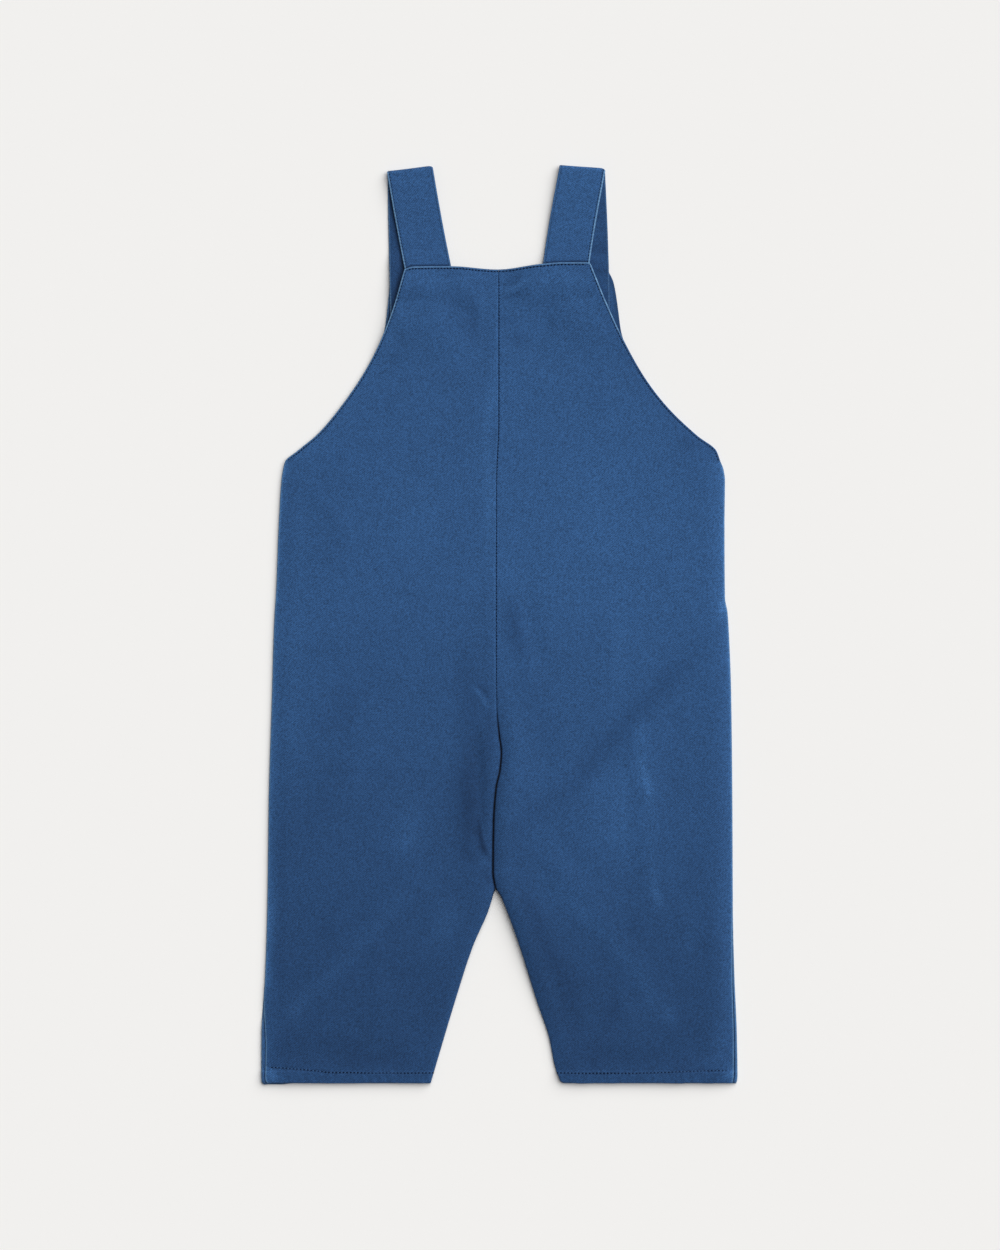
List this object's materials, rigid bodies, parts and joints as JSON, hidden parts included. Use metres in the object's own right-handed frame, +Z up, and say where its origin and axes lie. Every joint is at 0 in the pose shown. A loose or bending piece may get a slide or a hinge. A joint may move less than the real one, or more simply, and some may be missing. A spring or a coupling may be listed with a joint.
{
  "type": "overalls",
  "caption": "Baby's bib-and-brace overalls laid flat, back up: straps folded over at the shoulders, centre back seam, deep armholes, tapered legs with narrow stitched hems.",
  "frame": {"origin": "on the surface that the garment lies on, under the middle of its box", "axes": "+X to the garment's right side as it lies back up, +Y from the hems to the shoulders, +Z up out of its back"},
  "size_m": [0.3098, 0.5981, 0.0081],
  "materials": {
    "twill": "matt washed cotton twill, mid-blue, a little paler along the edges",
    "button": "satin navy"
  },
  "bodies": {
    "root": {"back_left": "twill", "back_right": "twill", "front_left": "twill", "front_right": "twill", "strap_left": "twill", "strap_right": "twill", "button_left": "button", "button_right": "button"}
  },
  "joints": []
}
